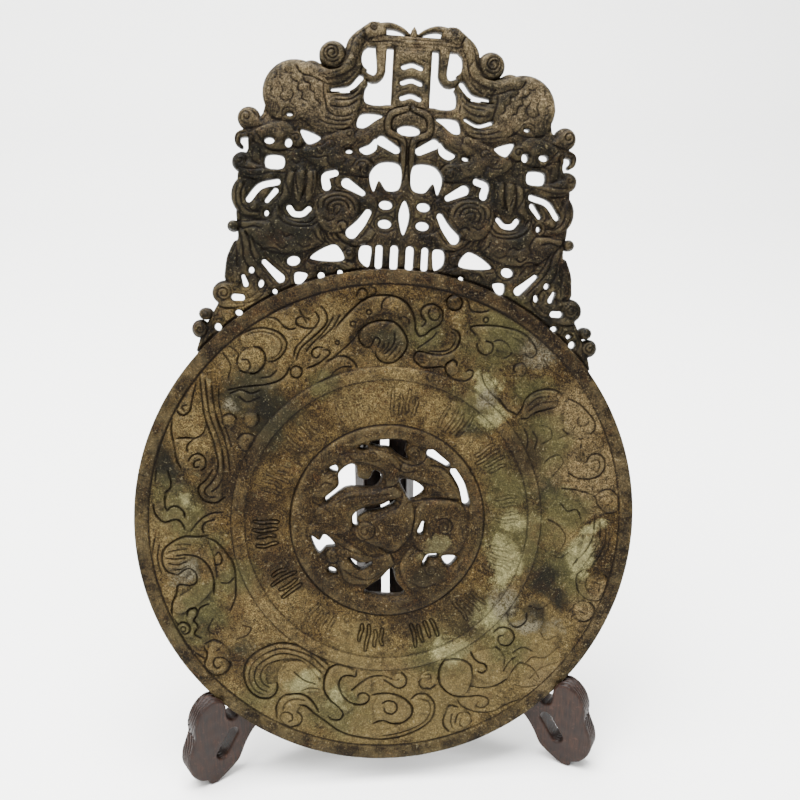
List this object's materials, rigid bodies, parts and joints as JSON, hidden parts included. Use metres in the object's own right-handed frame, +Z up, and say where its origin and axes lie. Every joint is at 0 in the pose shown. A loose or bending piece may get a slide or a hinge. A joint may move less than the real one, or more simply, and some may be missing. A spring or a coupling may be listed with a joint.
{
  "type": "jade bi disc on a folding stand",
  "caption": "Flat round carved jade disc with a pierced middle and a tall openwork crest, leaning back in a small folding wooden stand.",
  "frame": {"origin": "middle of the footprint's bounding box, on the table", "axes": "+Z up, the carved face looks along -Y and leans back, +X to the viewer's right"},
  "size_m": [0.236, 0.0944, 0.3478],
  "materials": {
    "jade": "weathered, mottled brown and grey-green, softly polished",
    "dark_wood": "dark reddish brown, satin"
  },
  "bodies": {
    "root": {"jade_disc": "jade", "stand_frame_right": "dark_wood", "stand_frame_left": "dark_wood"}
  },
  "joints": []
}
